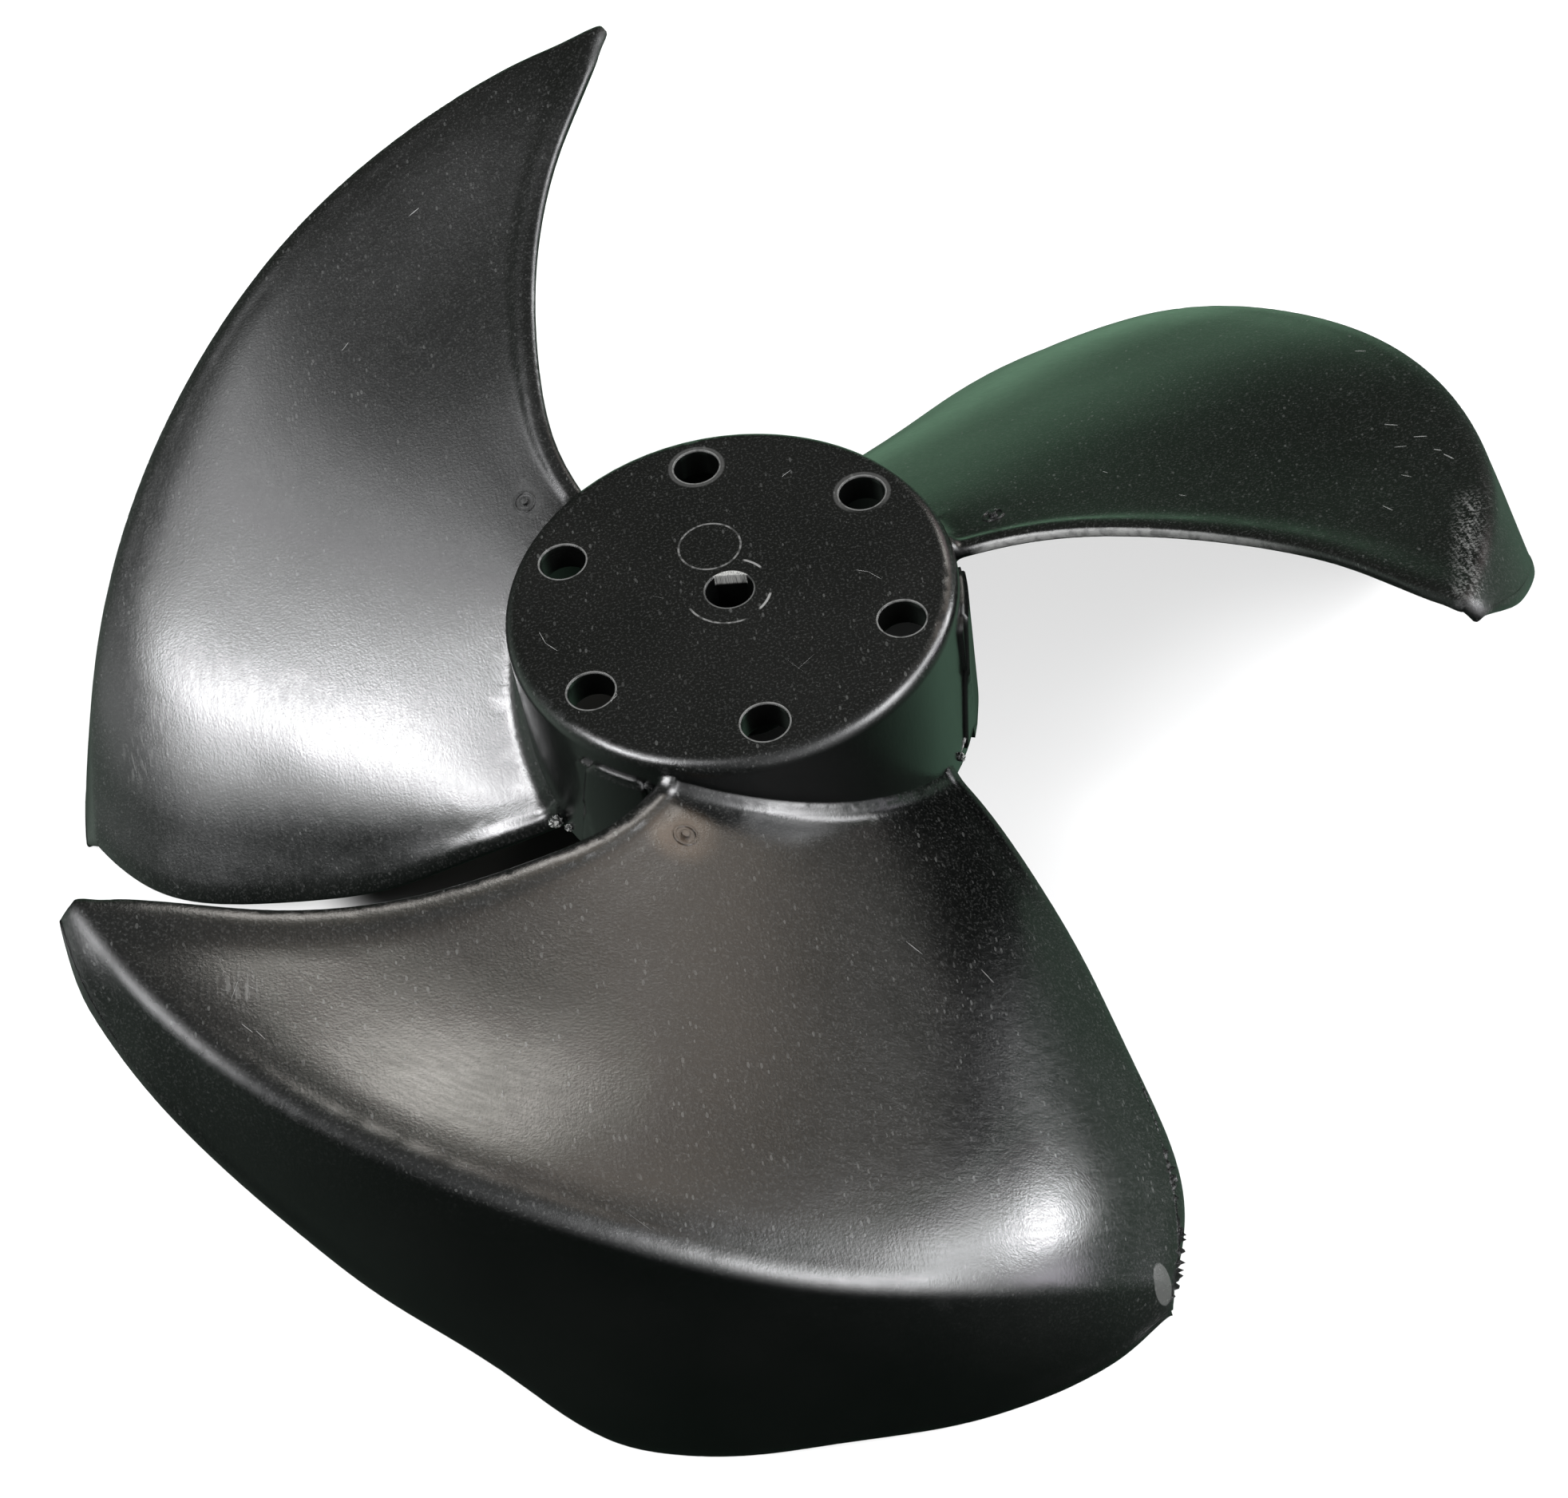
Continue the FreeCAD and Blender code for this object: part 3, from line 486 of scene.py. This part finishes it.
# torn flash on the rear corner of the front blade, and at the trailing root of two blades
flash("flash_rear_corner", [(79.8, -138.0, -78.4), (79.6, -142.4, -78.7), (79.6, -149.3, -79.3), (78.6, -159.0, -79.7),
                            (78.0, -164.2, -80.5), (76.4, -171.5, -80.4), (73.6, -178.0, -80.4), (70.9, -182.2, -82.2)],
      0.25, 1.9, 0.7, 11, black, 8)
flash("flash_rear_edge", [(79.4, -118.0, -76.6), (79.8, -128.0, -77.6), (79.8, -138.0, -78.4)], 0.10, 0.55, 0.8, 12, black, 6)
crumple("burr_root_left", (-56.4, -25.2, -48.4), (1.9, 1.5, 1.8), 21, torn)
crumple("burr_root_left_b", (-54.6, -28.2, -49.2), (1.3, 1.1, 0.9), 22, torn)
crumple("burr_root_front", (51.6, -30.4, -47.6), (1.1, 1.0, 1.6), 23, torn)
flash("flash_root_front", [(56.0, -21.4, -40.0), (55.2, -23.4, -43.0), (53.6, -26.6, -45.6), (51.9, -29.8, -47.2)],
      0.15, 0.9, 0.6, 13, torn, 3)

# raised pad on the side of the hub ahead of each leading root
PAD_TOP, PAD_FOOT, PAD_ROUND, HUB_R = -7.8, -48.4, 3.6, 59.6


def pad_rows(inset, lift, nu=18, nv=30):
    rows = []
    top, foot, rc = PAD_TOP - inset, PAD_FOOT + inset, PAD_ROUND - inset
    for j in range(nv + 1):
        v = (j / nv) ** 1.6
        z = top + (foot - top) * v
        d = top - z
        shift = rc - math.sqrt(max(0.0, rc * rc - (rc - d) ** 2)) if d < rc else 0.0
        left = math.radians(-135.8 - 10.9 * (PAD_TOP - z) / 40.0) + (inset + shift) / HUB_R
        right = math.radians(-119.6) - (inset + shift) / HUB_R
        row = []
        for i in range(nu + 1):
            a = left + (right - left) * i / nu
            ray = Vector((math.cos(a), math.sin(a), 0.0))
            hit = skin.ray_cast(Vector((0, 0, z * MM)) + ray * 0.075, -ray)
            r = HUB_R * MM
            if hit[0] is not None:
                r = min(0.0603, max(0.0588, Vector((hit[0].x, hit[0].y, 0)).length))
            row.append(ray * (r + lift * MM) + Vector((0, 0, z * MM)))
        rows.append(row)
    return rows


def pad(name, turn):
    bm = bmesh.new()
    layers = []
    for inset, lift in ((0.0, -0.8), (0.0, 0.55), (0.35, 0.95)):
        layers.append([[bm.verts.new(p) for p in row] for row in pad_rows(inset, lift)])
    nv, nu = len(layers[0]) - 1, len(layers[0][0]) - 1

    def rim(g):
        return g[0] + [g[j][nu] for j in range(1, nv + 1)] + g[nv][nu - 1::-1] + [g[j][0] for j in range(nv - 1, 0, -1)]
    for g, flip in ((layers[0], True), (layers[2], False)):
        for j in range(nv):
            for i in range(nu):
                q = (g[j][i], g[j + 1][i], g[j + 1][i + 1], g[j][i + 1])
                bm.faces.new(q[::-1] if flip else q)
    for a, b in ((layers[0], layers[1]), (layers[1], layers[2])):
        ra, rb = rim(a), rim(b)
        for k in range(len(ra)):
            n = (k + 1) % len(ra)
            bm.faces.new((ra[k], ra[n], rb[n], rb[k]))
    # the middle layer only lends its rim
    inner = [v for j, row in enumerate(layers[1]) for i, v in enumerate(row) if 0 < j < nv and 0 < i < nu]
    bmesh.ops.delete(bm, geom=inner, context="VERTS")
    bmesh.ops.rotate(bm, verts=bm.verts, cent=(0, 0, 0), matrix=Matrix.Rotation(turn, 3, "Z"))
    return put_piece(name, bm, black, True)


for k, word in enumerate(("front", "right", "left")):
    pad("side_pad_" + word, math.radians(120.0 * k))

# ---------------------------------------------------------------- floor
me = bpy.data.meshes.new("floor")
z = cad_lo[2] - 0.0002
R = 6.0
ring = 96
verts = [(0, 0, z)] + [(R * math.cos(2 * math.pi * i / ring), R * math.sin(2 * math.pi * i / ring), z) for i in range(ring)]
faces = [(0, 1 + i, 1 + (i + 1) % ring) for i in range(ring)]
me.from_pydata(verts, [], faces)
floor = bpy.data.objects.new("floor", me)
scene.collection.objects.link(floor)
fm, ft = material("floor_paper")
fo = ft.n("ShaderNodeOutputMaterial")
fb = ft.n("ShaderNodeBsdfPrincipled")
ft.link(fb.outputs[0], fo.inputs[0])
fb.inputs["Roughness"].default_value = 0.9
fb.inputs["Specular IOR Level"].default_value = 0.0
fpos = ft.n("ShaderNodeTexCoord").outputs["Object"]
paper = ft.mixc(ft.noise(fpos, 30.0, 2.0), (0.25, 0.25, 0.249, 1), (0.27, 0.27, 0.268, 1))
# painted shade: the paper right under the hub and behind the left gap is painted dark and its glow is cut there,
# standing in for deep shadow
flat_f = ft.vmath("MULTIPLY", fpos, (1.0, 1.0, 0.0))
shade = ft.math("MAXIMUM", ft.ramp(ft.vmath("LENGTH", ft.vmath("MULTIPLY", ft.vmath("SUBTRACT", flat_f, (0.001, 0.049, 0.0)), (1.0 / 0.058, 1.0 / 0.043, 0.0))), 1.06, 0.88),
                ft.ramp(ft.vmath("LENGTH", ft.vmath("MULTIPLY", ft.vmath("SUBTRACT", flat_f, (-0.076, -0.003, 0.0)), (1.0 / 0.045, 1.0 / 0.022, 0.0))), 1.3, 0.8))
ft.link(ft.mixc(shade, paper, (0.045, 0.046, 0.045, 1)), fb.inputs["Base Color"])
fb.inputs["Emission Color"].default_value = (1.0, 1.0, 1.0, 1)
ft.link(ft.ramp(shade, 0.0, 1.0, 0.67, 0.0), fb.inputs["Emission Strength"])
me.materials.append(fm)
floor.visible_glossy = False

# ---------------------------------------------------------------- light
world = bpy.data.worlds.new("studio")
scene.world = world
world.use_nodes = True
wt = Tree(world.node_tree)
wo = wt.n("ShaderNodeOutputWorld")
direction = wt.n("ShaderNodeTexCoord").outputs["Generated"]


def unit_dir(az, el):
    a, e = math.radians(az), math.radians(el)
    return (math.cos(a) * math.cos(e), math.sin(a) * math.cos(e), math.sin(e))


# soft lights: azimuth, elevation, degrees to half strength, colour
SOFT_LIGHTS = [
    (-174.5, 46.5, 3.6, (56.00, 56.80, 58.20)),
    (-166.5, 45.0, 3.6, (26.72, 26.97, 26.32)),
    (-159.0, 44.5, 3.6, (27.20, 27.50, 27.80)),
    (-151.5, 46.0, 3.6, (24.57, 24.75, 25.27)),
    (-143.5, 47.5, 4.0, (14.57, 14.84, 14.76)),
    (-163.0, 35.0, 4.5, (7.38, 7.25, 7.91)),
    (-152.0, 55.0, 5.0, (16.00, 16.00, 16.20)),
    (-152.0, 65.0, 10.0, (5.20, 5.20, 5.25)),
    (168.0, 54.0, 6.0, (6.57, 6.63, 6.88)),
    (-147.5, 36.5, 4.2, (4.20, 4.10, 4.20)),
    (56.3, 38.2, 3.6, (19.91, 19.15, 18.04)),
    (18.5, 28.9, 3.8, (21.38, 20.83, 22.61)),
    (5.2, 34.0, 4.6, (28.60, 27.80, 29.30)),
    (4.5, 14.6, 4.0, (12.30, 11.42, 13.02)),
    (18.0, 16.8, 3.0, (71.00, 70.80, 72.30)),
    (-23.7, 35.8, 12.2, (18.23, 16.77, 17.71)),
    (49.9, 21.4, 6.0, (2.65, 2.07, 2.15)),
    (177.5, 25.5, 8.0, (2.10, 2.05, 2.15)),
    (37.5, 40.5, 7.0, (2.75, 2.35, 2.05)),
    (-58.7, 33.3, 25.0, (2.36, 2.52, 2.47)),
    (12.0, -9.5, 31.0, (0.28, 0.40, 0.31)),
    (167.2, -6.2, 26.8, (0.73, 0.89, 0.78)),
    (86.0, -19.0, 14.0, (0.32, 0.60, 0.39)),
    (107.8, 55.0, 37.3, (0.13, 0.12, 0.11)),
    (29.9, 72.3, 21.5, (0.27, 0.27, 0.29)),
    (-14.0, 42.0, 3.6, (29.70, 29.11, 30.29)),
    (20.0, -48.0, 18.0, (0.12, 0.25, 0.17)),
]
grey = None
col = None
for az, el, half, tint in SOFT_LIGHTS:
    k = math.log(2.0) / (1.0 - math.cos(math.radians(half)))
    d = wt.vmath("DOT_PRODUCT", direction, unit_dir(az, el))
    f = wt.math("EXPONENT", wt.math("MULTIPLY_ADD", d, k, -k))
    mean = sum(tint) / 3.0
    if max(tint) - min(tint) < 0.09 * mean:
        # nearly white lights share one tint
        grey = wt.math("MULTIPLY_ADD", f, mean, grey if grey is not None else 0.0)
    else:
        one = wt.vmath("SCALE", tint, scale=f)
        col = one if col is None else wt.vmath("ADD", col, one)
col = wt.vmath("ADD", col, wt.vmath("SCALE", (0.992, 0.995, 1.013), scale=grey))
col = wt.vmath("ADD", col, (0.008, 0.018, 0.012))
bg = wt.n("ShaderNodeBackground")
wt.link(col, bg.inputs[0])
bg.inputs[1].default_value = 1.0
plain = wt.n("ShaderNodeBackground")
plain.inputs[0].default_value = (0.92, 0.92, 0.92, 1)
lp = wt.n("ShaderNodeLightPath")
mix = wt.n("ShaderNodeMixShader")
wt.link(lp.outputs["Is Camera Ray"], mix.inputs[0])
wt.link(bg.outputs[0], mix.inputs[1])
wt.link(plain.outputs[0], mix.inputs[2])
wt.link(mix.outputs[0], wo.inputs[0])
